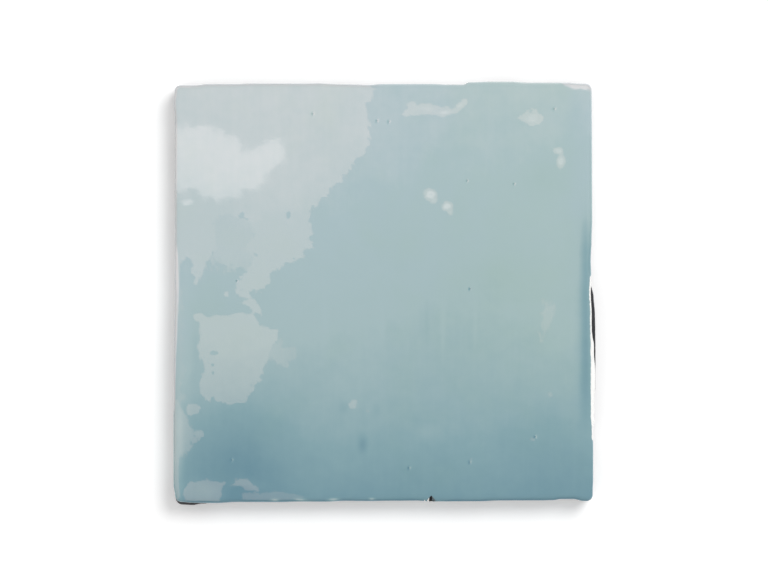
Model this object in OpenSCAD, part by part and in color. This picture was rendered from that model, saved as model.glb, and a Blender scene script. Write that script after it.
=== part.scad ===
// Square glazed wall tile with hand-finished edges, lying on its keyed back with the glazed face up.
// The origin is under the middle of the tile. X runs to the right, Y to the top edge, Z out of the face.

/* [Tile] */
// Width between the left and right edges
tile_w = 130; // [100:1:160]
// Length between the bottom and top edges
tile_l = 130; // [100:1:160]
// Thickness from the back to the plain of the glazed face
tile_t = 10; // [8:0.5:14]
// Radius of the four upright corners
corner_r = 2; // [1:0.1:5]

/* [Glazed edge] */
// How far in from the edge the glaze starts to roll over
roll_in = 1.8; // [1.2:0.1:4]
// How far down the side the roll reaches
roll_down = 1.8; // [1:0.1:3]

/* [Fired body] */
// How much the back is smaller than the face, on each side
back_draft = 0.5; // [0:0.1:1.2]
// Size of the eased edge round the back
back_ease = 0.6; // [0.3:0.1:1]
// How far the body stands out past the glaze on the right side
right_swell = 1.6; // [0:0.1:2]
// How far the body stands out under the lower left corner
foot_swell = 1.3; // [0:0.1:2]
// How far the body stands out under the glaze of the top edge
top_swell = 0.4; // [0:0.1:1]

/* [Waves] */
// Height of the waves along the edges, 1 as on the real tile
edge_wave = 1; // [0:0.1:1.5]
// Height of the low swells of the face
face_wave = 0.25; // [0:0.05:0.5]

/* [Keyed back] */
// Pairs of grooves, one of each pair on either side of the middle land
groove_pairs = 5; // [2:1:5]
// Width of a groove where it opens on the back
groove_w = 6; // [3:0.5:7]
// Depth of a groove
groove_d = 0.9; // [0.4:0.1:1.5]
// How much a groove narrows from the back to its floor, on each side
groove_flank = 0.5; // [0.2:0.1:1]
// Plain border round the grooves
back_border = 9; // [6:0.5:16]

/* [Chipped nick] */
// Width of the nick where it opens in the bottom edge
nick_w = 3.2; // [1:0.1:5]
// How far down the side the nick reaches
nick_down = 3; // [1:0.1:5]
// Distance of the nick to the right of the middle
nick_x = 15; // [-40:1:40]
// Width of the nick at its foot
nick_foot = 0.8; // [0.4:0.1:2]

/* [Hidden] */

half_w = tile_w / 2;
half_l = tile_l / 2;
side_h = tile_t - roll_down;

// Points along each straight side, round each corner, over the roll and from the roll to the middle
side_steps = 30;
corner_steps = 4;
roll_steps = 6;
face_steps = 12;
// How sharply the waves of an edge fade towards the middle of the face
fade_power = 4;
// A groove cutter reaches this far past the back, so that it opens cleanly
past = 1;
glaze_colour = [0.66, 0.76, 0.79];

// Each edge wave is a list of [place, out]. The place runs from -1 to 1 along the edge, to the right or up,
// and out is how far the edge stands outside the plain square there.
top_edge = [
    [-0.96, -0.4], [-0.90, -0.4], [-0.84, 0], [-0.70, 0], [-0.64, 0.15], [-0.40, 0.13], [-0.32, 0.22],
    [-0.20, -0.05], [-0.13, -0.15], [-0.07, -0.32], [0, 0], [0.24, 0], [0.30, -0.2], [0.385, -0.22],
    [0.412, 0.5], [0.50, 0.68], [0.62, 0.68], [0.70, 0.4], [0.89, 0.4], [0.93, 0.15], [0.96, 0.1]
];
bottom_edge = [
    [-0.98, 0.4], [-0.90, 0.7], [-0.80, 0.8], [-0.70, 0.5], [-0.50, 0.5], [-0.40, 0.35], [-0.28, 0.4],
    [-0.18, 0.12], [-0.08, 0.2], [0.05, 0.1], [0.16, 0.05], [0.23, 0.3], [0.46, 0.25], [0.56, 0],
    [0.76, -0.02], [0.81, -0.08], [0.85, -0.45], [0.91, -0.45], [0.955, 0.15], [0.98, 0.2]
];
left_edge = [
    [-0.97, -0.15], [-0.92, 0.35], [-0.30, 0.38], [-0.15, 0.15], [0, 0], [0.82, -0.05], [0.92, 0.35], [0.97, 0]
];
right_edge = [
    [-0.97, 0.35], [-0.88, 0.5], [-0.74, 0.5], [-0.66, 0.35], [-0.60, 0.05], [-0.30, 0.1], [-0.10, 0],
    [0, -0.3], [0.08, -0.1], [0.15, -0.25], [0.25, 0], [0.34, 0.2], [0.60, 0.15], [0.95, 0.05]
];

// Where the fired body stands out past the glaze: [place, share of the swell]
right_body = [[-0.66, 0], [-0.62, 0.75], [-0.51, 0.8], [-0.46, 1], [-0.16, 1], [-0.02, 0.85], [0.06, 0]];
bottom_body = [[-0.99, 0.9], [-0.97, 1], [-0.92, 0.95], [-0.87, 0.45], [-0.78, 0]];
top_body = [[0.46, 0], [0.52, 1], [0.62, 1], [0.68, 0]];

// Low swells of the face: [place across, place along, reach in mm, share of the height]
face_swells = [
    [-0.45, 0.50, 26, 0.9], [-0.10, 0.75, 17, -0.6], [0.25, 0.86, 14, 0.6], [0.72, 0.74, 20, -0.5],
    [0.45, 0.25, 30, 0.5], [0.85, -0.05, 20, -0.7], [-0.62, 0.08, 17, -0.6], [-0.68, -0.28, 14, 0.7],
    [-0.28, -0.20, 20, -0.4], [-0.62, -0.72, 20, -0.8], [-0.06, -0.70, 11, -0.7], [0.15, -0.45, 22, 0.5],
    [0.55, -0.65, 26, 0.6], [-0.90, -0.55, 12, 0.5]
];

function eased(t) = t * t * (3 - 2 * t);

// Height of a wave at one place: an eased line from each of its points to the next
function wave_at(wave, place, i = 0) =
    i == 0 && place <= wave[0][0] ? wave[0][1] :
    i == len(wave) - 1 ? wave[i][1] :
    place > wave[i + 1][0] ? wave_at(wave, place, i + 1) :
    wave[i][1] + (wave[i + 1][1] - wave[i][1])
        * eased((place - wave[i][0]) / (wave[i + 1][0] - wave[i][0]));

function out_right(y, body) =
    edge_wave * wave_at(right_edge, y / half_l) + body * right_swell * wave_at(right_body, y / half_l);
function out_left(y) = edge_wave * wave_at(left_edge, y / half_l);
function out_top(x, body) =
    edge_wave * wave_at(top_edge, x / half_w) + body * top_swell * wave_at(top_body, x / half_w);
function out_bottom(x, body) =
    edge_wave * wave_at(bottom_edge, x / half_w) + body * foot_swell * wave_at(bottom_body, x / half_w);

// Moves a point of the plain square outwards with the waves of the edges that it lies near.
// body is 1 down on the fired body and 0 on the glaze.
function waved(x, y, body) = let (
        near_x = pow(min(abs(x) / half_w, 1), fade_power),
        near_y = pow(min(abs(y) / half_l, 1), fade_power)
    ) [
        x + near_x * (x > 0 ? out_right(y, body) : -out_left(y)),
        y + near_y * (y > 0 ? out_top(x, body) : -out_bottom(x, body))
    ];

function swell(x, y, s) = let (
        dx = x - s[0] * half_w,
        dy = y - s[1] * half_l
    ) s[3] * exp(-(dx * dx + dy * dy) / (2 * s[2] * s[2]));
function add(values, i = 0) = i == len(values) ? 0 : values[i] + add(values, i + 1);
function relief(x, y) = face_wave * add([for (s = face_swells) swell(x, y, s)]);

// The face lies lower or higher with its swells, the sides follow in proportion and the back stays flat
function placed(x, y, z, body) = let (p = waved(x, y, body)) [p[0], p[1], z + relief(x, y) * z / tile_t];

// A rounded rectangle that lies inset from the plain square, as points that run round from the right side
function plain_outline(inset) = let (
        r = max(corner_r - inset, corner_r / 2),
        w = half_w - inset - r,
        l = half_l - inset - r,
        corners = [[w, l, 0], [-w, l, 90], [-w, -l, 180], [w, -l, 270]]
    ) [
        for (c = [0 : 3])
            let (here = corners[c], next = corners[(c + 1) % 4])
            each concat(
                [for (k = [0 : corner_steps - 1]) arc_point(here, r, k / corner_steps * 90)],
                [for (k = [0 : side_steps - 1]) between(
                    arc_point(here, r, 90), arc_point(next, r, 0), k / side_steps)]
            )
    ];
function arc_point(corner, r, turn) =
    [corner[0] + r * cos(corner[2] + turn), corner[1] + r * sin(corner[2] + turn)];
function between(a, b, t) = a + (b - a) * t;

// Rings from the back up over the roll: [inset, height, share of the body's swell]
side_rings = [
    [back_draft + back_ease, 0, 1],
    [back_draft, back_ease, 1],
    [back_draft * 0.6, side_h * 0.4, 1],
    [back_draft * 0.3, side_h * 0.7, 0.8],
    [back_draft * 0.1, side_h * 0.9, 0.4]
];
roll_rings = [
    for (k = [0 : roll_steps])
        let (turn = 90 * k / roll_steps)
        [roll_in * (1 - cos(turn)), side_h + roll_down * sin(turn), 0]
];
face_outline = plain_outline(roll_in);

rings = concat(
    [
        for (r = concat(side_rings, roll_rings))
            [for (p = plain_outline(r[0])) placed(p[0], p[1], r[1], r[2])]
    ],
    [
        for (k = [1 : face_steps - 1])
            let (t = 1 - k / face_steps)
            [for (p = face_outline) placed(p[0] * t, p[1] * t, tile_t, 0)]
    ]
);
round_count = len(rings[0]);
ring_count = len(rings);
back_middle = round_count * ring_count;
face_middle = back_middle + 1;

slab_points = concat(
    [for (ring = rings) each ring],
    [placed(0, 0, 0, 0), placed(0, 0, tile_t, 0)]
);
slab_faces = concat(
    [for (i = [0 : round_count - 1]) [i, (i + 1) % round_count, back_middle]],
    [
        for (k = [0 : ring_count - 2], i = [0 : round_count - 1])
            let (
                a = k * round_count + i,
                b = k * round_count + (i + 1) % round_count
            )
            each [[a, a + round_count, b], [b, a + round_count, b + round_count]]
    ],
    [
        for (i = [0 : round_count - 1])
            let (last = (ring_count - 1) * round_count)
            [last + i, face_middle, last + (i + 1) % round_count]
    ]
);

// The middle of the real outline, which the waves move off the middle of the plain square
slab_x = [for (p = slab_points) p[0]];
slab_y = [for (p = slab_points) p[1]];
mid_x = (min(slab_x) + max(slab_x)) / 2;
mid_y = (min(slab_y) + max(slab_y)) / 2;

// The grooves fill the back between its borders, and a land runs down the middle
key_w = tile_w - 2 * back_border;
key_l = tile_l - 2 * back_border;
groove_count = 2 * groove_pairs;
groove_pitch = (key_w - groove_w) / (groove_count - 1);

// The cutter of the nick is a four-sided block that stands this far over the face
block_sides = 4;
nick_over = 1;
nick_top = nick_foot + (nick_w - nick_foot) * (nick_down + nick_over) / nick_down;

// The slab of clay with its glaze: drafted sides, rolled edges and the swells of the face
module fired_slab() {
    polyhedron(points = slab_points, faces = slab_faces, convexity = 4);
}

// Section of a shallow channel that opens downwards and narrows to its floor
module channel_section(width) {
    polygon([
        [-width / 2 - groove_flank * past / groove_d, -past],
        [width / 2 + groove_flank * past / groove_d, -past],
        [width / 2 - groove_flank, groove_d],
        [-width / 2 + groove_flank, groove_d]
    ]);
}

// Parallel key grooves for the adhesive, with sloping sides and ends
module key_grooves() {
    intersection() {
        for (i = [0 : groove_count - 1]) {
            translate([(i - (groove_count - 1) / 2) * groove_pitch, half_l, 0])
                rotate([90, 0, 0])
                linear_extrude(height = tile_l)
                channel_section(groove_w);
        }
        translate([-half_w, 0, 0])
            rotate([90, 0, 90])
            linear_extrude(height = tile_w)
            channel_section(key_l);
    }
}

// A small three-cornered chip out of the glazed bottom edge, deepest at the face.
// It is one corner of a block that widens upwards, and the block stands over the face.
module edge_nick() {
    translate([nick_x, -half_l, tile_t - nick_down])
        cylinder(h = nick_down + nick_over, d1 = nick_foot, d2 = nick_top, $fn = block_sides);
}

module tile() {
    color(glaze_colour)
        translate([-mid_x, -mid_y, 0])
        difference() {
            fired_slab();
            key_grooves();
            edge_nick();
        }
}

tile();
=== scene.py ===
import bpy
import math
import numpy as np
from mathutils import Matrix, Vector, geometry, noise


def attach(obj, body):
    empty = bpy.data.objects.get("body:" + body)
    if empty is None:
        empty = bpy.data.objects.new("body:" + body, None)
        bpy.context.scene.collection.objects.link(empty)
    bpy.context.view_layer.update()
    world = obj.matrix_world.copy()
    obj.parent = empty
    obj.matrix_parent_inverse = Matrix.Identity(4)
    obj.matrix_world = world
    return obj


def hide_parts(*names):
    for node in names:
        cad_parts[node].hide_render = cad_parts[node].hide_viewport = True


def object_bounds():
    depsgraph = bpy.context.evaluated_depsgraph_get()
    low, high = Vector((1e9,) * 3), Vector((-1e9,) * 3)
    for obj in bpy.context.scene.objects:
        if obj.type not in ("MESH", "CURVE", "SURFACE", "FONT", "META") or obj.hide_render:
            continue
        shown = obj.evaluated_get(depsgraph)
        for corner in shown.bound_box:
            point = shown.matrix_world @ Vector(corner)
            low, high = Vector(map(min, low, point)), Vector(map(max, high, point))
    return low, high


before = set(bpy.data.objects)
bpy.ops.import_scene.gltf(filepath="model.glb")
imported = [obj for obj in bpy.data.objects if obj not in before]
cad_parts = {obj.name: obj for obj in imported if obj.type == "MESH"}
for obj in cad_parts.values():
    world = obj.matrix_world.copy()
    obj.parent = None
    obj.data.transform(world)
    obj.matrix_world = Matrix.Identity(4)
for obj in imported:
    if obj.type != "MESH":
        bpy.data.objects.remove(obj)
cadLow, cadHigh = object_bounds()
mm = 0.001
print("frame loaded")

# The tile's sizes in millimetres, as in the construction
tileSize = {
    "width": 130.0,
    "length": 130.0,
    "thickness": 10.0,
    "cornerRadius": 2.0,
    "rollIn": 1.8,  # how far in from the edge the glaze starts to roll over
    "rollDown": 1.8,  # how far down the side the roll reaches
    "backDraft": 0.5,
    "backEase": 0.6,
    "rightSwell": 1.6,  # how far the clay stands out past the glaze on the right
    "footSwell": 1.3,
    "topSwell": 0.4,
    "faceWave": 0.25,
    "faceCells": 240,  # cells across the face, about half a millimetre each
    "rollRings": 10,
    "sideRings": 18,
}
halfWidth = tileSize["width"] / 2
halfLength = tileSize["length"] / 2
sideHeight = tileSize["thickness"] - tileSize["rollDown"]

# Waves of the four edges: place from -1 to 1 along the edge, then millimetres outwards
topEdge = [
    (-0.96, -0.4), (-0.90, -0.4), (-0.84, 0), (-0.70, 0), (-0.64, 0.15), (-0.40, 0.13), (-0.32, 0.22),
    (-0.20, -0.05), (-0.13, -0.15), (-0.07, -0.32), (0, 0), (0.24, 0), (0.30, -0.2), (0.385, -0.22),
    (0.412, 0.5), (0.50, 0.68), (0.62, 0.68), (0.70, 0.4), (0.89, 0.4), (0.93, 0.15), (0.96, 0.1),
]
bottomEdge = [
    (-0.98, 0.4), (-0.90, 0.7), (-0.80, 0.8), (-0.70, 0.5), (-0.50, 0.5), (-0.40, 0.35), (-0.28, 0.4),
    (-0.18, 0.12), (-0.08, 0.2), (0.05, 0.1), (0.16, 0.05), (0.23, 0.3), (0.46, 0.25), (0.56, 0),
    (0.76, -0.02), (0.81, -0.08), (0.85, -0.45), (0.91, -0.45), (0.955, 0.15), (0.98, 0.2),
]
leftEdge = [
    (-0.97, -0.15), (-0.92, 0.35), (-0.30, 0.38), (-0.15, 0.15), (0, 0), (0.82, -0.05), (0.92, 0.35), (0.97, 0),
]
rightEdge = [
    (-0.97, 0.35), (-0.88, 0.5), (-0.74, 0.5), (-0.66, 0.35), (-0.60, 0.05), (-0.30, 0.1), (-0.10, 0),
    (0, -0.3), (0.08, -0.1), (0.15, -0.25), (0.25, 0), (0.34, 0.2), (0.60, 0.15), (0.95, 0.05),
]
# Where the clay stands out past the glaze: place, share of the swell
rightBody = [(-0.66, 0), (-0.62, 0.75), (-0.51, 0.8), (-0.46, 1), (-0.16, 1), (-0.02, 0.85), (0.06, 0)]
bottomBody = [(-0.99, 0.9), (-0.97, 1), (-0.92, 0.95), (-0.87, 0.45), (-0.78, 0)]
topBody = [(0.46, 0), (0.52, 1), (0.62, 1), (0.68, 0)]
# Low swells of the face: place across, place along, reach in mm, share of the height
faceSwells = [
    (-0.45, 0.50, 26, 0.9), (-0.10, 0.75, 17, -0.6), (0.25, 0.86, 14, 0.6), (0.72, 0.74, 20, -0.5),
    (0.45, 0.25, 30, 0.5), (0.85, -0.05, 20, -0.7), (-0.62, 0.08, 17, -0.6), (-0.68, -0.28, 14, 0.7),
    (-0.28, -0.20, 20, -0.4), (-0.62, -0.72, 20, -0.8), (-0.06, -0.70, 11, -0.7), (0.15, -0.45, 22, 0.5),
    (0.55, -0.65, 26, 0.6), (-0.90, -0.55, 12, 0.5),
]


def waveAt(wave, place):
    # an eased line from each point of the wave to the next
    places = np.array([p[0] for p in wave])
    heights = np.array([p[1] for p in wave], float)
    place = np.clip(place, places[0], places[-1])
    left = np.clip(np.searchsorted(places, place, side="right") - 1, 0, len(wave) - 2)
    t = (place - places[left]) / (places[left + 1] - places[left])
    return heights[left] + (heights[left + 1] - heights[left]) * t * t * (3 - 2 * t)


def faceRelief(x, y):
    height = np.zeros_like(x)
    for across, along, reach, share in faceSwells:
        dx, dy = x - across * halfWidth, y - along * halfLength
        height += share * np.exp(-(dx * dx + dy * dy) / (2 * reach * reach))
    return tileSize["faceWave"] * height


def placed(x, y, z, body):
    # moves points of the plain slab outwards with the waves of the edges they lie near
    nearX = np.minimum(np.abs(x) / halfWidth, 1) ** 4
    nearY = np.minimum(np.abs(y) / halfLength, 1) ** 4
    right = waveAt(rightEdge, y / halfLength) + body * tileSize["rightSwell"] * waveAt(rightBody, y / halfLength)
    left = waveAt(leftEdge, y / halfLength)
    top = waveAt(topEdge, x / halfWidth) + body * tileSize["topSwell"] * waveAt(topBody, x / halfWidth)
    bottom = waveAt(bottomEdge, x / halfWidth)
    bottom = bottom + body * tileSize["footSwell"] * waveAt(bottomBody, x / halfWidth)
    outX = x + nearX * np.where(x > 0, right, -left)
    outY = y + nearY * np.where(y > 0, top, -bottom)
    outZ = z + faceRelief(x, y) * z / tileSize["thickness"]
    return np.column_stack((outX, outY, outZ))


def ringOf(inset, radius):
    # the points of the face's border, moved to a rectangle that lies inset, with rounded corners
    w, l = halfWidth - inset, halfLength - inset
    x, y = borderU * w, borderV * l
    dx, dy = np.abs(x) - (w - radius), np.abs(y) - (l - radius)
    corner = (dx > 0) & (dy > 0) & (radius > 0)
    safe = max(radius, 1e-6)
    turn = np.where(dx >= dy, dy / safe * 45, 90 - dx / safe * 45)
    turn = np.radians(turn)
    roundX = np.sign(x) * (w - radius + radius * np.cos(turn))
    roundY = np.sign(y) * (l - radius + radius * np.sin(turn))
    return np.where(corner, roundX, x), np.where(corner, roundY, y)


cells = tileSize["faceCells"]
steps = np.arange(cells)
borderI = np.concatenate((steps, np.full(cells, cells), cells - steps, np.zeros(cells, int)))
borderJ = np.concatenate((np.zeros(cells, int), steps, np.full(cells, cells), cells - steps))
borderU = 2 * borderI / cells - 1
borderV = 2 * borderJ / cells - 1


def buildSlab():
    # the glazed face is a grid, and rings run from its border over the roll and down the sides
    gridV, gridU = np.mgrid[0:cells + 1, 0:cells + 1] * 2 / cells - 1
    faceX = gridU.ravel() * (halfWidth - tileSize["rollIn"])
    faceY = gridV.ravel() * (halfLength - tileSize["rollIn"])
    thickness = tileSize["thickness"]
    parts = [placed(faceX, faceY, np.full_like(faceX, thickness), 0)]
    rings = [borderJ * (cells + 1) + borderI]
    profile = []
    for k in range(1, tileSize["rollRings"] + 1):
        turn = math.radians(90 - 90 * k / tileSize["rollRings"])
        inset = tileSize["rollIn"] * (1 - math.cos(turn))
        profile.append((inset, sideHeight + tileSize["rollDown"] * math.sin(turn), 0))
    draft, ease = tileSize["backDraft"], tileSize["backEase"]
    for k in range(1, tileSize["sideRings"] + 1):
        z = sideHeight + (ease - sideHeight) * k / tileSize["sideRings"]
        share = z / sideHeight
        inset = draft * np.interp(share, (0, 0.4, 0.7, 0.9, 1), (1, 0.6, 0.3, 0.1, 0))
        body = np.interp(share, (0.4, 0.7, 0.9, 1), (1, 0.8, 0.4, 0))
        profile.append((inset, z, body))
    profile.append((draft + ease * 0.35, ease * 0.3, 1))
    profile.append((draft + ease, 0, 1))
    count = len(faceX)
    for inset, z, body in profile:
        radius = tileSize["cornerRadius"] * (1 - min(inset / tileSize["rollIn"], 1))
        radius = max(radius, tileSize["cornerRadius"] * 0.3)
        x, y = ringOf(inset, radius)
        parts.append(placed(x, y, np.full_like(x, z), body))
        rings.append(np.arange(count, count + len(x)))
        count += len(x)
    points = np.vstack(parts)
    i, j = np.meshgrid(np.arange(cells), np.arange(cells))
    a = (j * (cells + 1) + i).ravel()
    quads = [np.column_stack((a, a + 1, a + cells + 2, a + cells + 1))]
    for upper, lower in zip(rings, rings[1:]):
        quads.append(np.column_stack((upper, lower, np.roll(lower, -1), np.roll(upper, -1))))
    faces = np.vstack(quads).tolist()
    outline = [Vector((p[0], p[1])) for p in points[rings[-1]]]
    fill = geometry.delaunay_2d_cdt(outline, [], [list(range(len(outline)))], 1, 1e-6)
    back = rings[-1].tolist()
    source = [v[0] for v in fill[3]]
    for tri in fill[2]:
        # the back looks down, so its triangles turn the other way
        faces.append([back[source[v]] for v in reversed(tri)])
    return points, faces


def newMesh(name, points, faces):
    mesh = bpy.data.meshes.new(name)
    mesh.from_pydata(points, [], faces)
    mesh.validate()
    piece = bpy.data.objects.new(name, mesh)
    bpy.context.scene.collection.objects.link(piece)
    return piece


slabPoints, slabFaces = buildSlab()
lowest, highest = slabPoints.min(0), slabPoints.max(0)
middle = (lowest + highest) / 2
middle[2] = 0
slab = newMesh("glazedTile", (slabPoints - middle) * mm, slabFaces)
print("slab built:", len(slabPoints), "points")

# The keyed back: parallel grooves for the adhesive, which narrow to their floors
keyedBack = {
    "Groove Count": 10,
    "Groove Width": 6.0 * mm,
    "Groove Depth": 0.9 * mm,
    "Groove Flank": 0.5 * mm,
    "Field Width": (130.0 - 2 * 9.0) * mm,
    "Field Length": (130.0 - 2 * 9.0) * mm,
    "Shift": (-middle[0] * mm, -middle[1] * mm, 0.0),
    "Pinhole Radius": 0.3 * mm,
    "Pinhole Depth": 0.35 * mm,
}
nickSize = {"width": 3.2, "down": 3.0, "right": 15.0, "foot": 0.8}
# Pinholes left by bubbles in the glaze: right, up
pinholes = [
    (-21.9, 55.5), (-1.9, 53.4), (1.8, 53.1), (53.3, 57.1), (26.2, 34.7), (40.8, 33.7), (-45.5, 3.5),
    (27.1, 1.0), (-47.1, -52.3), (8.1, -54.8), (27.0, -53.0), (47.4, -45.1),
]


def nickCutter():
    # one corner of a block that widens upwards bites the chip out of the bottom edge
    over = 1.0
    down, foot = nickSize["down"], nickSize["foot"]
    top = foot + (nickSize["width"] - foot) * (down + over) / down
    start = Vector((nickSize["right"], -halfLength, tileSize["thickness"] - down)) - Vector(middle)
    corners = []
    for wide, z in ((foot / 2, 0), (top / 2, down + over)):
        corners += [Vector((wide, 0, z)), Vector((0, wide, z)), Vector((-wide, 0, z)), Vector((0, -wide, z))]
    faces = [(3, 2, 1, 0), (4, 5, 6, 7), (0, 1, 5, 4), (1, 2, 6, 5), (2, 3, 7, 6), (3, 0, 4, 7)]
    return newMesh("nickCutter", [(c + start) * mm for c in corners], faces)


def pinholeSpots():
    # one point in the face for each pinhole
    places = np.array(pinholes)
    heights = tileSize["thickness"] + faceRelief(places[:, 0], places[:, 1])
    return newMesh("pinholeSpots", (np.column_stack((places, heights)) - middle) * mm, [])


def node(tree, kind, settings=None, **links):
    # adds a node, sets its values and links its inputs by name
    made = tree.nodes.new(kind)
    for key, value in (settings or {}).items():
        if isinstance(key, int) or key in made.inputs:
            made.inputs[key].default_value = value
        else:
            setattr(made, key, value)
    for name, source in links.items():
        target = name.replace("_", " ")
        if name[0] == "i" and name[1:].isdigit():
            target = int(name[1:])
        tree.links.new(source, made.inputs[target])
    return made


def keyedBackTree():
    tree = bpy.data.node_groups.new("keyedBack", "GeometryNodeTree")
    face = tree.interface
    face.new_socket("Geometry", in_out="INPUT", socket_type="NodeSocketGeometry")
    for name, value in keyedBack.items():
        kind = "NodeSocketInt" if isinstance(value, int) else "NodeSocketFloat"
        if isinstance(value, tuple):
            kind = "NodeSocketVector"
        face.new_socket(name, in_out="INPUT", socket_type=kind)
    face.new_socket("Nick", in_out="INPUT", socket_type="NodeSocketObject")
    face.new_socket("Pinholes", in_out="INPUT", socket_type="NodeSocketObject")
    face.new_socket("Material", in_out="INPUT", socket_type="NodeSocketMaterial")
    face.new_socket("Geometry", in_out="OUTPUT", socket_type="NodeSocketGeometry")
    given = tree.nodes.new("NodeGroupInput").outputs

    def sum2(operation, a, b):
        made = node(tree, "ShaderNodeMath", {"operation": operation})
        for index, value in enumerate((a, b)):
            if isinstance(value, (int, float)):
                made.inputs[index].default_value = value
            else:
                tree.links.new(value, made.inputs[index])
        return made.outputs[0]

    # one cutter: a block whose sides lean in by the flank over the groove's depth
    height = sum2("MULTIPLY", given["Groove Depth"], 2)
    size = node(tree, "ShaderNodeCombineXYZ", X=given["Groove Width"], Y=given["Field Length"], Z=height)
    block = node(tree, "GeometryNodeMeshCube", Size=size.outputs[0])
    at = node(tree, "ShaderNodeSeparateXYZ", Vector=node(tree, "GeometryNodeInputPosition").outputs[0])
    lean = sum2("MULTIPLY", sum2("DIVIDE", at.outputs["Z"], given["Groove Depth"]), given["Groove Flank"])
    moveX = sum2("MULTIPLY", sum2("MULTIPLY", sum2("SIGN", at.outputs["X"], 0), lean), -1)
    moveY = sum2("MULTIPLY", sum2("MULTIPLY", sum2("SIGN", at.outputs["Y"], 0), lean), -1)
    move = node(tree, "ShaderNodeCombineXYZ", X=moveX, Y=moveY)
    cutter = node(tree, "GeometryNodeSetPosition", Geometry=block.outputs["Mesh"], Offset=move.outputs[0])
    # a row of them across the back, with a land down the middle
    span = sum2("SUBTRACT", given["Field Width"], given["Groove Width"])
    pitch = sum2("DIVIDE", span, sum2("SUBTRACT", given["Groove Count"], 1))
    first = node(tree, "ShaderNodeCombineXYZ", X=sum2("MULTIPLY", span, -0.5))
    start = node(tree, "ShaderNodeVectorMath", {"operation": "ADD"}, i0=first.outputs[0], i1=given["Shift"])
    step = node(tree, "ShaderNodeCombineXYZ", X=pitch)
    row = node(
        tree, "GeometryNodeMeshLine",
        Count=given["Groove Count"], Start_Location=start.outputs[0], Offset=step.outputs[0])
    cutters = node(
        tree, "GeometryNodeInstanceOnPoints", Points=row.outputs[0], Instance=cutter.outputs[0])
    nick = node(tree, "GeometryNodeObjectInfo", {"transform_space": "ORIGINAL"}, Object=given["Nick"])
    # a cone, its point down, that stands in the face as deep as over it
    tall = sum2("MULTIPLY", given["Pinhole Depth"], 2)
    broad = sum2("MULTIPLY", given["Pinhole Radius"], 2)
    cone = node(
        tree, "GeometryNodeMeshCone", {"Vertices": 10, "Radius Bottom": 0.0},
        Radius_Top=broad, Depth=tall)
    lower = node(tree, "ShaderNodeCombineXYZ", Z=sum2("MULTIPLY", given["Pinhole Depth"], -1))
    pit = node(tree, "GeometryNodeTransform", Geometry=cone.outputs["Mesh"], Translation=lower.outputs[0])
    spots = node(tree, "GeometryNodeObjectInfo", {"transform_space": "ORIGINAL"}, Object=given["Pinholes"])
    pits = node(
        tree, "GeometryNodeInstanceOnPoints", Points=spots.outputs["Geometry"], Instance=pit.outputs[0])
    joined = node(tree, "GeometryNodeJoinGeometry")
    tree.links.new(cutters.outputs[0], joined.inputs[0])
    tree.links.new(nick.outputs["Geometry"], joined.inputs[0])
    tree.links.new(pits.outputs[0], joined.inputs[0])
    loose = node(tree, "GeometryNodeRealizeInstances", Geometry=joined.outputs[0])
    cut = node(tree, "GeometryNodeMeshBoolean", {"operation": "DIFFERENCE", "solver": "MANIFOLD"})
    tree.links.new(given["Geometry"], cut.inputs["Mesh 1"])
    tree.links.new(loose.outputs[0], cut.inputs["Mesh 2"])
    real = node(tree, "GeometryNodeRealizeInstances", Geometry=cut.outputs["Mesh"])
    done = node(tree, "GeometryNodeSetMaterial", Geometry=real.outputs[0], Material=given["Material"])
    tree.links.new(done.outputs[0], tree.nodes.new("NodeGroupOutput").inputs["Geometry"])
    return tree


def toLinear(hexColour):
    # an sRGB hex colour as a linear one
    values = [int(hexColour[i:i + 2], 16) / 255 for i in (1, 3, 5)]
    return [v / 12.92 if v <= 0.04045 else ((v + 0.055) / 1.055) ** 2.4 for v in values] + [1.0]


glazedClay = bpy.data.materials.new("glossyAquaGlaze")
cutters = {"Nick": nickCutter(), "Pinholes": pinholeSpots()}
cutting = slab.modifiers.new("keyedBack", "NODES")
cutting.node_group = keyedBackTree()
for item in cutting.node_group.interface.items_tree:
    if item.in_out == "INPUT" and item.name in keyedBack:
        cutting[item.identifier] = keyedBack[item.name]
    elif item.in_out == "INPUT" and item.name in cutters:
        cutting[item.identifier] = cutters[item.name]
    elif item.in_out == "INPUT" and item.name == "Material":
        cutting[item.identifier] = glazedClay
bpy.context.view_layer.update()
evaluated = slab.evaluated_get(bpy.context.evaluated_depsgraph_get())
cutMesh = bpy.data.meshes.new_from_object(evaluated)
slab.modifiers.remove(cutting)
slab.data = cutMesh
slab.data.name = "glazedTile"
for cutter in cutters.values():
    bpy.data.objects.remove(cutter)
print("back keyed:", len(cutMesh.vertices), "points,", len(cutMesh.polygons), "faces")

# What each point of the tile shows, in millimetres from the middle of the plain square
points = np.empty(len(cutMesh.vertices) * 3)
cutMesh.vertices.foreach_get("co", points)
points = points.reshape(-1, 3) / mm + middle
px, py, pz = points.T

# The soft light that the glaze mirrors hangs up and to the left, seen past one straight edge
mirroredCard = {
    "height": 1250.0,  # above the face
    "towards": (-0.83, 0.56),  # the way that the card lies from the tile
    "edgePoint": (-24.0, 31.0),  # a level face would mirror the card's edge through this point
    "reach": 4000.0,
    "breadth": 4000.0,
    "window": (-90.0, 90.0),  # how far the brighter window in it runs to either side
}
camera = {"lens": 300.0, "frameWidth": 239.4, "right": 0.28, "up": -0.09}
camera["distance"] = camera["frameWidth"] * camera["lens"] / 36.0
towards = np.array(mirroredCard["towards"])
towards = towards / np.linalg.norm(towards)
spread = 1 + mirroredCard["height"] / camera["distance"]


def smooth(low, high, value):
    t = np.clip((value - low) / (high - low), 0, 1)
    return t * t * (3 - 2 * t)


def ripple(x, y, size, layer):
    # soft noise from -1 to 1 with waves of about the given size in mm
    return np.array([noise.noise((a / size, b / size, layer)) for a, b in zip(x, y)])


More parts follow.
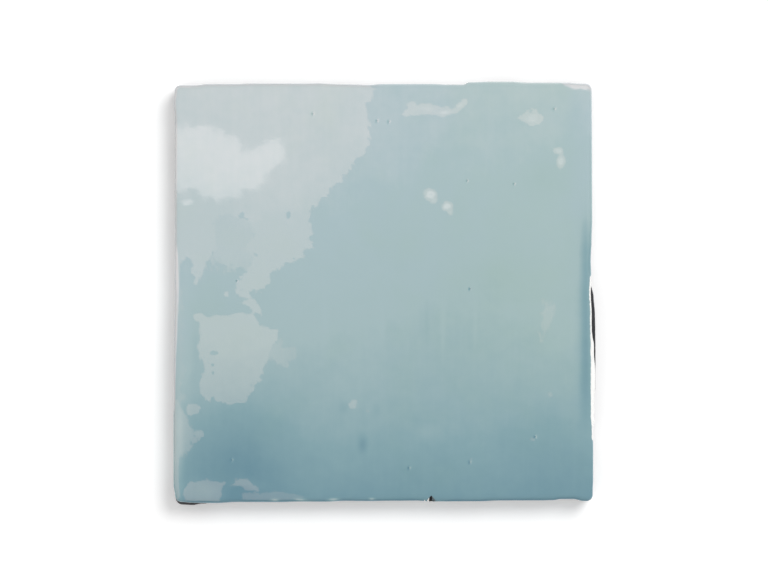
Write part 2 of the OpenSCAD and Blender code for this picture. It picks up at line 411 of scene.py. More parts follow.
def insideBy(x, y, outline):
    # how far each point lies inside a drawn outline, in mm, and below 0 outside it
    far = np.full(len(x), 1e9)
    within = np.zeros(len(x), bool)
    for (ax, ay), (bx, by) in zip(outline, outline[1:] + outline[:1]):
        ex, ey = bx - ax, by - ay
        t = np.clip(((x - ax) * ex + (y - ay) * ey) / (ex * ex + ey * ey), 0, 1)
        far = np.minimum(far, np.hypot(x - ax - t * ex, y - ay - t * ey))
        crosses = (ay > y) != (by > y)
        within ^= crosses & (x < (bx - ax) * (y - ay) / (by - ay if by != ay else 1) + ax)
    return np.where(within, far, -far)


# Patches where the glaze leans towards the soft light, drawn as outlines in mm. "past" is
# how far beyond the card's edge they look, and "soft" how wide their border is.
veil, bright, half = 95.0, 240.0, 26.0
cornerOutline = [
    (55, 67), (55.2, 65.6), (56.7, 64.3), (58.3, 63.7), (59.8, 63.2), (61.4, 63.5), (63, 63), (67, 62.6), (67, 67)]
veilPatches = [
    {"past": veil, "soft": 1.5, "outline": [
        (-70, 70), (-3, 70), (-3.1, 63), (-5.6, 55.9), (-4.1, 50.6), (-4.7, 45.9), (-8.1, 41.2),
        (-12.8, 35.6), (-17.5, 30.9), (-22.2, 27.2), (-22.8, 23.4), (-21.9, 15.3), (-25.9, 11),
        (-33.1, 7.9), (-35.9, 2.9), (-37.8, 0.4), (-45.2, 0.7), (-46.2, 2.2), (-43.7, 5.1),
        (-41.5, 7.5), (-39.9, 11.3), (-43.4, 13.2), (-40.6, 16.9), (-40.6, 21.9), (-48.4, 24.7),
        (-52.7, 22.5), (-52.1, 13.5), (-54, 10.7), (-55.5, 6.9), (-58, 2.9), (-59, 5.7),
        (-59.3, 9.4), (-61.1, 11), (-63.3, 8.5), (-70, 8)]},
    {"past": 31.0, "soft": 4.0, "outline": [
        (-60, 27), (-36, 27), (-36, 10), (-42, 6), (-48, 7), (-54, 9)]},
    {"past": veil, "soft": 0.8, "outline": [
        (-46.2, 0.4), (-42.7, 0.7), (-40.9, -1.5), (-37.8, -5.5), (-37.8, -7.4), (-41.5, -5.2),
        (-44.6, -3.1), (-42.4, -2.1)]},
    {"past": veil, "soft": 0.9, "outline": [
        (-59.1, -7.3), (-56.8, -6.3), (-55.4, -7.7), (-47.4, -6.8), (-43.7, -6.3), (-39.9, -7.9),
        (-38.6, -10.8), (-37.1, -10.5), (-35.3, -11.7), (-33.2, -11.9), (-33, -14.7), (-35.3, -18),
        (-35.8, -20.8), (-37.1, -22.2), (-38.1, -25), (-39.5, -26.9), (-37.8, -27.4), (-41.8, -29.2),
        (-40.4, -30.2), (-42.3, -32.5), (-43.7, -34.1), (-48.4, -34.5), (-52.6, -33.9), (-54.4, -33.6),
        (-57.1, -31.5), (-56.6, -26.9), (-55.4, -24.6), (-56.3, -21.8), (-57.7, -18), (-56.8, -13.3),
        (-57.1, -10.2), (-59.1, -8.2)]},
    {"past": 16.0, "soft": 2.0, "outline": [
        (-33.5, -14.5), (-27.8, -16.5), (-25.9, -19.3), (-28.7, -21.1), (-30.6, -23.6), (-34.3, -21.8),
        (-36.5, -22.4), (-37, -17)]},
    {"past": half, "soft": 2.0, "outline": [(-70, 2), (-62.5, 2), (-61.5, -20), (-62, -34), (-70, -34)]},
    {"past": half + 10, "soft": 1.6, "outline": [
        (-70, -33), (-62.4, -34.9), (-61.4, -39.2), (-59.3, -42.3), (-58, -46.1), (-60.5, -48.6),
        (-61.4, -51.1), (-70, -51.7)]},
    {"past": veil, "soft": 0.9, "outline": [
        (-61.9, -61.4), (-59.6, -59.5), (-56.8, -58.5), (-52.1, -58.9), (-49.8, -59.5), (-50.5, -62),
        (-50, -63.5), (-50.6, -67), (-61.6, -67)]},
    {"past": veil, "soft": 0.8, "outline": [
        (-47.4, -60.1), (-46, -58.4), (-43.7, -58.2), (-40.9, -59.4), (-38.1, -62), (-38.1, -63.3),
        (-41.4, -61.6), (-44.2, -60.3), (-47.4, -60.5)]},
    {"past": 44.0, "soft": 0.6, "outline": [
        (-44.6, -62.4), (-38, -62.3), (-33, -61.6), (-29, -62.2), (-24, -64.0), (-27, -65.0), (-38, -65.2), (-44, -64.6)]},
    {"past": 60.0, "soft": 0.7, "outline": cornerOutline},
    {"past": 20.0, "soft": 1.5, "outline": [
        (49.5, -2), (55, -3.5), (53, -9), (50.5, -14), (48.4, -17.5), (47.6, -15), (48.5, -9)]},
    {"past": veil, "soft": 1.2, "outline": [
        (5.7, 55.2), (7.1, 57), (8.9, 58.8), (12.4, 58.5), (16.9, 58.8), (18.7, 57.4), (21.4, 57),
        (24.1, 59.2), (25.8, 59.7), (25, 58.1), (22.3, 56.1), (20.9, 55), (15.1, 55.2), (10.7, 55.6),
        (7.5, 54.6)]},
]
brightPatches = [
    {"past": bright, "soft": 3.6, "outline": [
        (-68, 50.5), (-61.9, 52.3), (-55.4, 52), (-52.6, 51.4), (-48.4, 50), (-45.5, 48.1),
        (-43.2, 44.8), (-39, 45.3), (-36.2, 47.6), (-33, 48.1), (-30.6, 46.2), (-30.6, 41.5),
        (-32.5, 39.7), (-35.3, 37.8), (-37.1, 34), (-39.9, 31.7), (-43.2, 31.7), (-45.1, 29.9),
        (-51.6, 28.4), (-54.9, 29.4), (-58.6, 31.7), (-63.3, 31.7), (-68, 33.1)]},
]
# Small spots: right, up, half width, half height, how far past the card's edge, softness
veilSpots = [
    (-59.3, -36.7, 2.0, 1.9, veil, 0.8), (-57.4, -44.2, 1.6, 1.4, veil, 0.8), (-49.0, -0.6, 0.8, 0.7, veil, 0.6),
    (0.3, 35.6, 1.0, 0.8, half, 0.8), (49.2, -14.9, 0.9, 3.0, half, 1.0), (-9.3, -35.2, 1.3, 1.5, 45.0, 0.8),
    (-4.8, -37.1, 1.0, 1.0, 34.0, 0.8), (46.4, 54.3, 3.0, 2.1, veil, 1.6), (-60.8, 28.1, 1.4, 0.8, veil, 0.8),
    (-21.0, -62.5, 1.0, 0.6, half, 0.6), (-14.0, -61.5, 0.8, 0.7, half, 0.6),
    (51.8, -32.0, 0.9, 0.8, half, 0.8), (46.8, -45.6, 0.9, 0.7, half, 0.8), (27.4, -52.2, 0.8, 1.0, half, 0.8),
]
brightSpots = [
    (46.2, 54.2, 1.9, 1.4, 185.0, 1.2), (54.6, 44.0, 1.6, 1.0, 195.0, 0.7), (55.4, 40.7, 1.3, 2.1, 195.0, 0.8),
    (14.5, 30.5, 1.9, 1.6, 230.0, 0.9), (15.8, 28.9, 1.1, 1.2, 150.0, 0.7), (20.0, 26.7, 1.6, 1.4, 210.0, 0.7),
    (20.9, 25.0, 0.9, 1.1, 150.0, 0.6), (-60.9, 28.0, 1.8, 0.9, bright, 0.8), (13.4, 57.3, 3.4, 1.0, 172.0, 0.7),
    (19.2, 56.1, 2.4, 0.8, 185.0, 0.6), (24.0, 58.2, 0.9, 0.7, 190.0, 0.8),
]
# Gaps in the patches: right, up, half width, half height
veilGaps = [
    (-52.6, -18.9, 1.3, 0.7), (-53.0, -22.7, 0.5, 0.6), (-53.0, -25.2, 0.4, 0.6), (-53.0, -33.4, 0.5, 0.9),
    (-59.1, -39.0, 1.0, 0.9), (-38.5, -26.5, 1.0, 0.4), (-57.8, -42.2, 0.7, 0.5), (-43.8, 24.0, 0.6, 1.2),
    (-29.5, 24.0, 0.7, 1.4), (-54.0, 4.0, 0.9, 1.5),
]


def insideSpot(x, y, spot):
    # how far inside an oval, in mm
    away = np.hypot((x - spot[0]) / spot[2], (y - spot[1]) / spot[3])
    return (1 - away) * min(spot[2], spot[3])


def patchField(x, y, patches, spots, gaps):
    # how deep each point lies in a patch, in widths of its border, and how far past the edge it looks
    field, past = np.full(len(x), -9.0), np.full(len(x), veil)
    shapes = [(insideBy(x, y, p["outline"]), p["past"], p["soft"]) for p in patches]
    shapes += [(insideSpot(x, y, s), s[4], s[5]) for s in spots]
    for deep, level, soft in shapes:
        nearer = deep / soft > field
        # inside two patches, the one that looks further in shows
        nearer = np.where((deep > 0) & (field > 0), level > past, nearer)
        field = np.where(nearer, deep / soft, field)
        past = np.where(nearer, level, past)
    for gap in gaps:
        field = np.minimum(field, -insideSpot(x, y, gap) / 0.22)
    return np.clip(field, -4, 4), past


def levelOf(x, y):
    # how far past the card's edge the built face looks where it mirrors the light, in mm
    step = 0.05
    slopeX = (faceRelief(x + step, y) - faceRelief(x - step, y)) / (2 * step)
    slopeY = (faceRelief(x, y + step) - faceRelief(x, y - step)) / (2 * step)
    slope = slopeX * towards[0] + slopeY * towards[1]
    edge = np.array(mirroredCard["edgePoint"])
    flat = spread * ((x - edge[0]) * towards[0] + (y - edge[1]) * towards[1])
    return flat - 2 * mirroredCard["height"] * slope


level = levelOf(px, py)
veilField, veilPast = patchField(px, py, veilPatches, veilSpots, veilGaps)
brightField, brightPast = patchField(px, py, brightPatches, brightSpots, [])
fromPinhole = np.min([np.hypot(px - x, py - y) for x, y in pinholes], axis=0)
onFace = smooth(8.9, 9.5, pz) * (fromPinhole > 0.36)
leans = [(wanted - level) * onFace / (2 * mirroredCard["height"]) for wanted in (
    np.minimum(level, -60.0), veilPast, brightPast)]


def giveAttribute(mesh, name, kind, values):
    made = mesh.attributes.new(name, kind, "POINT")
    field = "vector" if kind == "FLOAT_VECTOR" else "value"
    made.data.foreach_set(field, np.ascontiguousarray(values, dtype=np.float32).ravel())


giveAttribute(cutMesh, "leans", "FLOAT_VECTOR", np.column_stack(leans))
giveAttribute(cutMesh, "patches", "FLOAT_VECTOR", np.column_stack((veilField, brightField, onFace)))

# How deep the glaze lies: 0 where it is thin over the white slip, 1 where it pools blue. It also carries painted shade
# and highlights.
# Each pool: right, up, reach across, reach along, how much deeper.
pools = [
    (22, 0, 20, 22, 0.07), (50, 36, 4.5, 4.5, 0.10), (-46, -50, 12, 14, 0.17), (54, 1, 6, 14, -0.05),
    (-6.4, -47.3, 1.0, 1.8, 0.18), (-44, -62, 2.5, 1.5, 0.12), (-36, 35, 30, 20, -0.06),
    (18.7, -12, 0.6, 6, -0.05), (28.7, -10, 0.6, 5, -0.04), (-0.3, -10, 0.6, 4, -0.04), (-18, -8, 0.8, 6, -0.04),
    (13.7, -8, 0.5, 6, 0.03), (13.7, -43.6, 2.2, 1.8, -0.06), (-12.5, -36, 1.2, 1.6, 0.06), (-2.2, -37, 1.0, 1.6, 0.05),
    (-55.5, -62, 5, 2.5, -0.10), (-42.5, -60.2, 4, 1.6, -0.08), (53, -48, 12, 10, 0.06), (55, 0, 8, 12, 0.04),
    (-62.8, -14, 2.4, 16, -0.14), (-58.8, -15, 1.3, 8, 0.05), (-63, -48, 1.8, 8, -0.07), (-50, 5, 7, 8, -0.05), (-60, 2, 3, 8, -0.05), (60, 30, 4, 18, 0.05),
]
downwards = (62 - py) / 127
depthAndPaintedLight = 0.24 + 0.30 * downwards + 0.36 * np.clip(downwards, 0, 2) ** 3
for right, up, across, along, more in pools:
    depthAndPaintedLight += more * np.exp(-((px - right) / across) ** 2 / 2 - ((py - up) / along) ** 2 / 2)
# painted shade: a darker band down the right edge, where the face bends down and mirrors the darker room
rightShadeBand = np.exp(-((px - 63.1) / 1.9) ** 2) * smooth(34, 12, py) * smooth(-48, -20, py)
depthAndPaintedLight += 0.31 * rightShadeBand
# painted highlight: the glaze is drawn paler on the roll of the top right corner, where the key light would shine on it
inCornerHighlight = insideBy(px, py, cornerOutline)
nearArris = smooth(6.8, 8.4, pz)
depthAndPaintedLight -= 0.20 * smooth(-0.3, 0.3, inCornerHighlight) * nearArris
depthAndPaintedLight -= 0.12 * smooth(-61.5, -63.5, px) * smooth(-30, -42, py)
# painted shade on the left of each pinhole and a painted highlight on its right, drawn into the glaze
nearest = np.argmin([np.hypot(px - x, py - y) for x, y in pinholes], axis=0)
shineSide = smooth(-0.12, 0.12, px - np.array(pinholes)[nearest, 0])
depthAndPaintedLight += (0.62 - 1.1 * shineSide) * np.exp(-(fromPinhole / 0.42) ** 2)
# it thins where it rolls over the arris, most on the left and along the top left; on the left roll, which turns away
# from the lamps, this paler glaze is partly painted light
overArris = smooth(9.95, 9.0, pz) * (0.25 + 0.75 * nearArris)
depthAndPaintedLight -= 0.40 * overArris * (px < -60) * smooth(-75, -25, py)
depthAndPaintedLight -= (0.08 + 0.22 * smooth(0, -10, px)) * overArris * (py > 60)
depthAndPaintedLight += 0.15 * smooth(9.9, 9.3, pz) * (px > 60) * smooth(0, 10, py) * smooth(50, 35, py)
# how far in from the waving edge each point lies
atX, atY = px / halfWidth, py / halfLength
fromBottom = py + halfLength + waveAt(bottomEdge, atX)
fromLeft = px + halfWidth + waveAt(leftEdge, atY)
# the left rim is thin and pale, and partly painted light where its roll turns from the lamps; a thin darker line of
# painted shade runs along the bottom edge, where the roll turns down from the light
rimWidth = np.interp(py, (-37, -20, 0, 14), (0.2, 0.7, 1.0, 0.8))
leftRim = np.exp(-(np.maximum(fromLeft - rimWidth, 0) / 0.25) ** 2) * smooth(-38, -35, py) * smooth(16, 6, py)
depthAndPaintedLight -= 0.8 * leftRim * nearArris
depthAndPaintedLight += 0.45 * np.exp(-((fromBottom - 0.3) / 0.25) ** 2) * np.clip(0.6 + 1.2 * ripple(px, 0 * px, 7, 1.5), 0, 1)
# small thin places on the arris of the bottom edge: right, reach
for right, reach in ((-33.7, 1.2), (-26.0, 1.6), (-15.5, 1.5), (-3.5, 0.8)):
    depthAndPaintedLight -= 0.5 * np.exp(-((px - right) / reach) ** 2 - ((fromBottom - 0.7) / 0.4) ** 2)
giveAttribute(cutMesh, "glazeDepthAndPaintedLight", "FLOAT", np.clip(depthAndPaintedLight, 0, 1))

# Where the glaze and the slip end. Both run down the sides to wandering lines, and stop
# at the arris where the clay stands out past them. In mm, positive below the line.
around = ripple(px, py, 9, 3.5)
swelling = np.maximum(waveAt(rightBody, atY) * (px > 60), waveAt(bottomBody, atX) * smooth(-58.5, -63.5, py))
swelling = np.maximum(swelling, waveAt(topBody, atX) * (py > 60))
# they climb slowly towards the bare stretch of the right side
climb = smooth(26, 0, py) * smooth(-66, -36, py) * (px > 60)
clayTop = 3.2 + 1.4 * around + 0.5 * ripple(px, py, 2.5, 7.5) + 2.4 * climb
clayStart = 8.15 - 0.95 * smooth(-12, -17, py) * (px > 60) - 1.6 * smooth(-19, -25, py) * (px > 60)
clayStart = clayStart - 3.5 * (py > 60)
clayTop = clayTop + (clayStart - clayTop) * smooth(0.02, 0.45, swelling)
slipTop = clayTop + 0.45 * smooth(8.5, 7.5, clayTop)
slipTop = slipTop + np.maximum(7.9 - slipTop, 0) * climb ** 2
rightRim = smooth(-47.5, -46, py) * smooth(6.5, 4.5, py) * (px > 55)
slipTop = slipTop + (9.35 - slipTop) * rightRim * (1 - 0.12 * np.abs(ripple(px, py, 4, 2.5)))
# a pale chip beside the nick
chip = np.exp(-((px - 13.0) / 0.9) ** 2) * (py < -60) * smooth(5.5, 7.5, pz)
slipTop = slipTop + np.maximum(9.7 - slipTop, 0) * chip
# how green the glaze looks, most on the right and not in the painted shade band along its edge
greener = 0.64 * smooth(-5, 50, px) * smooth(-55, 5, py) * (1 - rightShadeBand)
greener = greener * smooth(0.3, -0.3, inCornerHighlight) * (1 - 0.6 * smooth(56, 62, px))
giveAttribute(cutMesh, "greener", "FLOAT", greener)
giveAttribute(cutMesh, "clayShows", "FLOAT", np.clip(clayTop - pz, -3, 3))
giveAttribute(cutMesh, "slipShows", "FLOAT", np.clip(slipTop - pz, -3, 3))

sharpest = math.radians(32)
cutMesh.shade_smooth()
cutMesh.set_sharp_from_angle(angle=sharpest)
print("surface marked")

# Glossy aqua glaze, dipped and fired over a white slip: wet-looking and a little uneven, deeper
# blue where it pools. The clay under it is dark and matt.
glazeColours = {
    "thin": "#d5dadd",
    "light": "#acc2c7",
    "aqua": "#a6bec1",
    "blue": "#86a8b0",
    "deep": "#6a91a0",
    "slip": "#fbfbf8",
    "clay": "#202126",
    "dust": "#36373b",
    "fracture": "#6e8086",
}


def buildGlaze(material):
    material.use_nodes = True
    tree = material.node_tree
    tree.nodes.clear()
    place = node(tree, "ShaderNodeTexCoord").outputs["Object"]

    def attribute(name, output="Fac"):
        return node(tree, "ShaderNodeAttribute", {"attribute_name": name}).outputs[output]

    def noiseOf(scale, detail, stretch=None):
        # soft noise, its waves about a metre divided by the scale
        if stretch:
            by = node(tree, "ShaderNodeVectorMath", {"operation": "MULTIPLY", 1: stretch}, i0=place).outputs[0]
        else:
            by = place
        return node(tree, "ShaderNodeTexNoise", {"Scale": scale, "Detail": detail}, Vector=by).outputs["Fac"]

    def shifted(value, noiseValue, amount):
        # the value moved up and down by the noise
        swing = node(tree, "ShaderNodeMath", {"operation": "MULTIPLY_ADD", 1: amount, 2: -amount / 2}, i0=noiseValue)
        return node(tree, "ShaderNodeMath", {"operation": "ADD"}, i0=value, i1=swing.outputs[0]).outputs[0]

    def step(value, low, high):
        made = node(
            tree, "ShaderNodeMapRange", {"interpolation_type": "SMOOTHSTEP", "From Min": low, "From Max": high},
            Value=value)
        return made.outputs[0]

    def mixed(amount, first, second):
        made = node(tree, "ShaderNodeMix", {"data_type": "FLOAT"}, i0=amount, i2=first, i3=second)
        return made.outputs[0]

    # depth of the glaze, with its painted shade and highlights: clouds of 18 and 7 mm, mottle of 3 mm and the faint
    # streaks of a brush
    deep = shifted(attribute("glazeDepthAndPaintedLight"), noiseOf(55.0, 3.0), 0.10)
    deep = shifted(deep, noiseOf(140.0, 2.0), 0.07)
    deep = shifted(deep, noiseOf(330.0, 2.0), 0.05)
    deep = shifted(deep, noiseOf(1.0, 2.0, (700.0, 45.0, 300.0)), 0.03)
    ramp = node(tree, "ShaderNodeValToRGB", Fac=deep)
    stops = ramp.color_ramp.elements
    stops[0].position, stops[0].color = 0.0, toLinear(glazeColours["thin"])
    stops[1].position, stops[1].color = 1.0, toLinear(glazeColours["deep"])
    for at, name in ((0.3, "light"), (0.5, "aqua"), (0.75, "blue")):
        stops.new(at).color = toLinear(glazeColours[name])
    # its hue wanders a little between blue and green
    green = shifted(shifted(attribute("greener"), noiseOf(45.0, 2.0), 0.8), noiseOf(100.0, 2.0), 0.9)
    hued = node(
        tree, "ShaderNodeMix", {"data_type": "RGBA", "blend_type": "MULTIPLY", 7: (0.98, 1.0, 0.935, 1.0)},
        i0=green, i6=ramp.outputs[0])
    # ragged ends of the glaze and of the slip
    fray = noiseOf(700.0, 3.0)
    clayShows = step(shifted(attribute("clayShows"), fray, 0.5), -0.06, 0.06)
    slipShows = step(shifted(attribute("slipShows"), fray, 0.7), -0.15, 0.15)
    withSlip = node(
        tree, "ShaderNodeMix", {"data_type": "RGBA", 7: toLinear(glazeColours["slip"])},
        i0=slipShows, i6=hued.outputs[2])
    # the clay is dark, with paler dust from the kiln
    dust = step(noiseOf(160.0, 4.0), 0.45, 0.75)
    clay = node(
        tree, "ShaderNodeMix",
        {"data_type": "RGBA", 6: toLinear(glazeColours["clay"]), 7: toLinear(glazeColours["dust"])}, i0=dust)
    withClay = node(
        tree, "ShaderNodeMix", {"data_type": "RGBA"}, i0=clayShows, i6=withSlip.outputs[2], i7=clay.outputs[2])
    # the walls of the nick: slip on the left and clay on the right, a painted light and shade, as the left wall faces
    # the key light and the right wall turns from it
    at = node(tree, "ShaderNodeSeparateXYZ", Vector=place)

    def offBy(source, centre):
        made = node(tree, "ShaderNodeMath", {"operation": "SUBTRACT", 1: centre}, i0=source)
        return made.outputs[0]

    def sizeOf(source):
        return node(tree, "ShaderNodeMath", {"operation": "ABSOLUTE"}, i0=source).outputs[0]

    rightOf = offBy(at.outputs[0], (nickSize["right"] - middle[0]) * mm)
    aboveOf = offBy(at.outputs[1], (-halfLength - middle[1]) * mm)
    widens = (nickSize["width"] - nickSize["foot"]) / 2 / nickSize["down"]
    start = nickSize["foot"] / 2 * mm - widens * (tileSize["thickness"] - nickSize["down"]) * mm
    wide = node(tree, "ShaderNodeMath", {"operation": "MULTIPLY_ADD", 1: widens, 2: start}, i0=at.outputs[2])
    away = node(tree, "ShaderNodeMath", {"operation": "ADD"}, i0=sizeOf(rightOf), i1=sizeOf(aboveOf))
    within = node(tree, "ShaderNodeMath", {"operation": "SUBTRACT"}, i0=wide.outputs[0], i1=away.outputs[0])
    nicked = step(within.outputs[0], -0.09 * mm, -0.04 * mm)
    nickWallLitAndShaded = node(
        tree, "ShaderNodeMix",
        {"data_type": "RGBA", 6: toLinear(glazeColours["slip"]), 7: toLinear(glazeColours["clay"])},
        i0=step(shifted(rightOf, fray, 0.5 * mm), -0.75 * mm, -0.6 * mm))
    grey = node(
        tree, "ShaderNodeMix", {"data_type": "RGBA", 7: toLinear(glazeColours["fracture"])},
        i0=step(shifted(rightOf, fray, 0.5 * mm), 0.15 * mm, 0.35 * mm), i6=nickWallLitAndShaded.outputs[2])
    withNick = node(tree, "ShaderNodeMix", {"data_type": "RGBA"}, i0=nicked, i6=withClay.outputs[2], i7=grey.outputs[2])
    bare = node(tree, "ShaderNodeMath", {"operation": "MAXIMUM"}, i0=clayShows, i1=nicked)
    rough = node(tree, "ShaderNodeMapRange", {"To Min": 0.07, "To Max": 0.85}, Value=bare.outputs[0])
    # the leaning patches, their borders ragged by 1 to 3 mm
    split = node(tree, "ShaderNodeSeparateXYZ", Vector=attribute("patches", "Vector"))
    leans = node(tree, "ShaderNodeSeparateXYZ", Vector=attribute("leans", "Vector"))
    coarse, fine = noiseOf(380.0, 2.0), noiseOf(950.0, 2.0)
    inVeil = step(shifted(shifted(split.outputs[0], coarse, 2.8), fine, 1.8), -0.9, 0.6)
    inBright = step(shifted(shifted(split.outputs[1], coarse, 1.3), fine, 0.8), -1.2, 1.2)
    lean = mixed(inBright, mixed(inVeil, leans.outputs[0], leans.outputs[1]), leans.outputs[2])
    way = node(
        tree, "ShaderNodeVectorMath", {"operation": "SCALE", 0: (towards[0], towards[1], 0)}, Scale=lean)
    facing = node(tree, "ShaderNodeNewGeometry").outputs["Normal"]
    # the glaze is fuller over the start of the roll, and inside a patch most of all
    patched = node(tree, "ShaderNodeMath", {"operation": "MAXIMUM"}, i0=inVeil, i1=inBright)
    fuller = node(tree, "ShaderNodeMath", {"operation": "MULTIPLY_ADD", 1: 0.5, 2: 0.5}, i0=patched.outputs[0])
    share = node(tree, "ShaderNodeMath", {"operation": "MULTIPLY"}, i0=fuller.outputs[0], i1=split.outputs[2])
    eased = node(
        tree, "ShaderNodeMix", {"data_type": "VECTOR", 5: (0, 0, 1)}, i0=share.outputs[0], i4=facing)
    leant = node(tree, "ShaderNodeVectorMath", {"operation": "ADD"}, i0=eased.outputs[1], i1=way.outputs[0])
    normal = node(tree, "ShaderNodeVectorMath", {"operation": "NORMALIZE"}, i0=leant.outputs[0])
    grit = node(tree, "ShaderNodeMath", {"operation": "MULTIPLY"}, i0=noiseOf(900.0, 4.0), i1=bare.outputs[0])
    gritty = node(
        tree, "ShaderNodeBump", {"Strength": 0.6, "Distance": 0.0003},
        Height=grit.outputs[0], Normal=normal.outputs[0])
    # the fine orange peel of a fired glaze, its pits about a millimetre apart
    bump = node(
        tree, "ShaderNodeBump", {"Strength": 0.25, "Distance": 0.000012},
        Height=noiseOf(900.0, 1.0), Normal=gritty.outputs[0])
    shader = node(
        tree, "ShaderNodeBsdfPrincipled", {"IOR": 1.5},
        Base_Color=withNick.outputs[2], Roughness=rough.outputs[0], Normal=bump.outputs[0])
    out = node(tree, "ShaderNodeOutputMaterial")
    tree.links.new(shader.outputs[0], out.inputs["Surface"])


buildGlaze(glazedClay)
cutMesh.materials.clear()
cutMesh.materials.append(glazedClay)
print("glaze mixed")

# Fit to the outline of the construction, which has fewer points on the same waves
fitted = (points - middle) * mm
low, high = fitted.min(0), fitted.max(0)
scale = (np.array(cadHigh) - np.array(cadLow)) / (high - low)
fitted = np.array(cadLow) + (fitted - low) * scale
cutMesh.vertices.foreach_set("co", fitted.ravel())
cutMesh.update()
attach(slab, "root")
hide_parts("tile")

# White floor
floorLook = {
    "size": 3.0,
    "under": -0.02 * mm,
    "colour": "#f4f4f4",
    "glow": 0.26,  # a light table glows a little
}


def buildFloor():
    half = floorLook["size"] / 2
    under = floorLook["under"]
    corners = [(-half, -half, under), (half, -half, under), (half, half, under), (-half, half, under)]
    piece = newMesh("floor", corners, [(0, 1, 2, 3)])
    paper = bpy.data.materials.new("whitePaper")
    paper.use_nodes = True
    shader = paper.node_tree.nodes["Principled BSDF"]
    shader.inputs["Base Color"].default_value = toLinear(floorLook["colour"])
    shader.inputs["Roughness"].default_value = 0.9
    shader.inputs["Specular IOR Level"].default_value = 0.0
    shader.inputs["Emission Color"].default_value = (1, 1, 1, 1)
    shader.inputs["Emission Strength"].default_value = floorLook["glow"]
    # from below the floor is clear, so that the back of the tile shows
    tree = paper.node_tree
    clear = node(tree, "ShaderNodeBsdfTransparent")
    below = node(tree, "ShaderNodeNewGeometry").outputs["Backfacing"]
    sides = node(tree, "ShaderNodeMixShader", i0=below, i1=shader.outputs[0], i2=clear.outputs[0])
    tree.links.new(sides.outputs[0], tree.nodes["Material Output"].inputs["Surface"])
    piece.data.materials.append(paper)


buildFloor()

# A steep key light from the upper right, a low even fill, and the card that the glaze mirrors
lighting = {
    "key": {"way": (0.69, 0.72), "tilt": 36.0, "distance": 1.6, "size": 0.94, "power": 15.6},
    "fill": {"way": (-0.6, -0.45), "tilt": 52.0, "distance": 1.6, "size": 1.1, "power": 3.6},
    "sky": 0.425,
    "veilLight": (2.8, 1.93, 1.6),
    "brightLight": (5.5, 4.2, 3.8),
}


def buildLamp(name):
    look = lighting[name]
    tilt = math.radians(look["tilt"])
    way = Vector(look["way"]).normalized() * math.sin(tilt)
    spot = Vector((way.x, way.y, math.cos(tilt))) * look["distance"]
    data = bpy.data.lights.new(name, "AREA")
    data.shape = "DISK"
    data.size = look["size"]
    data.energy = look["power"]
    lamp = bpy.data.objects.new(name, data)
    lamp.location = spot
    lamp.rotation_euler = (-spot).to_track_quat("-Z", "Y").to_euler()
    lamp.visible_glossy = False  # the glaze mirrors only the card and the room
    bpy.context.scene.collection.objects.link(lamp)


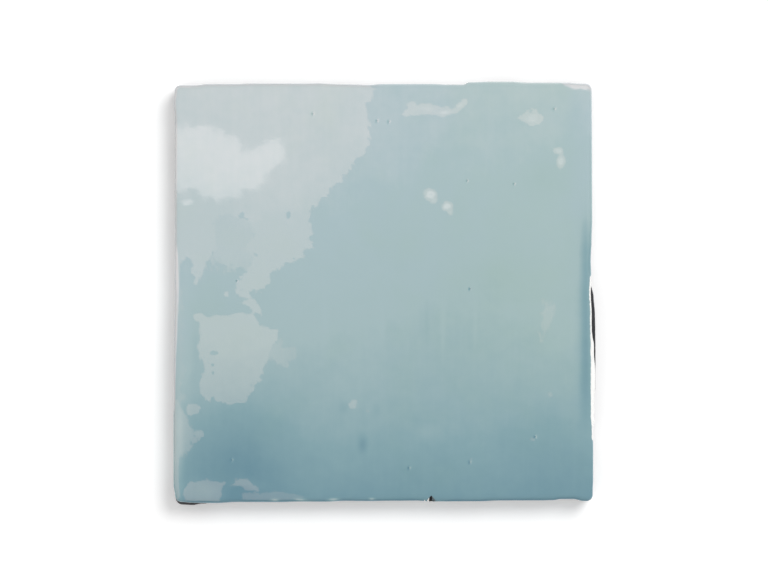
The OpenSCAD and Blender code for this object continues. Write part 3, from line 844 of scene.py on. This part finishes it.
def buildCard():
    # its straight edge lies where a level face would mirror it, and it brightens away from that edge
    high = (mirroredCard["height"] + tileSize["thickness"]) * mm
    across = Vector((towards[0], towards[1], 0))
    along = Vector((-towards[1], towards[0], 0))
    edge = Vector((*mirroredCard["edgePoint"], 0)) - Vector(middle)
    start = across * edge.dot(across) * spread * mm + along * edge.dot(along) * spread * mm
    start.z = high
    reach, breadth = mirroredCard["reach"] * mm, mirroredCard["breadth"] * mm
    corners = [start - along * breadth / 2, start + along * breadth / 2]
    corners += [corners[1] + across * reach, corners[0] + across * reach]
    card = newMesh("softCard", corners, [(0, 1, 2, 3)])
    layer = card.data.uv_layers.new(name="card")
    for loop, uv in zip(layer.data, ((0, 0), (0, 1), (1, 1), (1, 0))):
        loop.uv = uv
    glow = bpy.data.materials.new("softCardGlow")
    glow.use_nodes = True
    tree = glow.node_tree
    tree.nodes.clear()
    spot = node(tree, "ShaderNodeUVMap", {"uv_map": "card"})
    split = node(tree, "ShaderNodeSeparateXYZ", Vector=spot.outputs[0])

    def fade(source, low, high):
        made = node(
            tree, "ShaderNodeMapRange", {"interpolation_type": "SMOOTHSTEP", "From Min": low, "From Max": high},
            Value=source)
        return made.outputs[0]

    def times(a, b):
        return node(tree, "ShaderNodeMath", {"operation": "MULTIPLY"}, i0=a, i1=b).outputs[0]

    # in millimetres: a wide veil of light, and one brighter window in it
    reachMm, breadthMm = mirroredCard["reach"], mirroredCard["breadth"]
    slant = node(
        tree, "ShaderNodeMath", {"operation": "MULTIPLY_ADD", 1: -0.5 * reachMm / breadthMm},
        i0=split.outputs[0], i2=split.outputs[1])
    inVeil = times(
        fade(split.outputs[0], 0, 50 / reachMm),
        fade(slant.outputs[0], 0.5 - 230 / breadthMm, 0.5 - 180 / breadthMm))
    across = times(
        fade(split.outputs[0], 145 / reachMm, 200 / reachMm), fade(split.outputs[0], 400 / reachMm, 350 / reachMm))
    low, high = mirroredCard["window"]
    sides = times(
        fade(split.outputs[1], 0.5 + (low - 30) / breadthMm, 0.5 + low / breadthMm),
        fade(split.outputs[1], 0.5 + (high + 30) / breadthMm, 0.5 + high / breadthMm))
    shade = node(
        tree, "ShaderNodeMix", {"data_type": "RGBA", 6: (*lighting["veilLight"], 1), 7: (*lighting["brightLight"], 1)},
        i0=times(across, sides))
    shine = node(tree, "ShaderNodeEmission", Color=shade.outputs[2], Strength=inVeil)
    out = node(tree, "ShaderNodeOutputMaterial")
    tree.links.new(shine.outputs[0], out.inputs["Surface"])
    card.data.materials.append(glow)
    # it shows only in the glaze, and neither lights the floor nor shades it
    card.visible_camera = False
    card.visible_diffuse = False
    card.visible_shadow = False


def buildSky():
    world = bpy.data.worlds.new("studio")
    world.use_nodes = True
    sky = world.node_tree.nodes["Background"]
    sky.inputs["Color"].default_value = (1, 1, 1, 1)
    sky.inputs["Strength"].default_value = lighting["sky"]
    bpy.context.scene.world = world


buildLamp("key")
buildLamp("fill")
buildCard()
buildSky()
bpy.context.scene.view_settings.view_transform = "Standard"
print("studio lit")

# The camera looks straight down, with the top edge up
data = bpy.data.cameras.new("camera")
data.sensor_width = 36.0
data.lens = camera["lens"]
data.clip_end = 20.0
viewer = bpy.data.objects.new("camera", data)
viewer.location = Vector((camera["right"], camera["up"], camera["distance"] + sideHeight)) * mm - Vector(middle) * mm
bpy.context.scene.collection.objects.link(viewer)
bpy.context.scene.camera = viewer

print("tile finished")
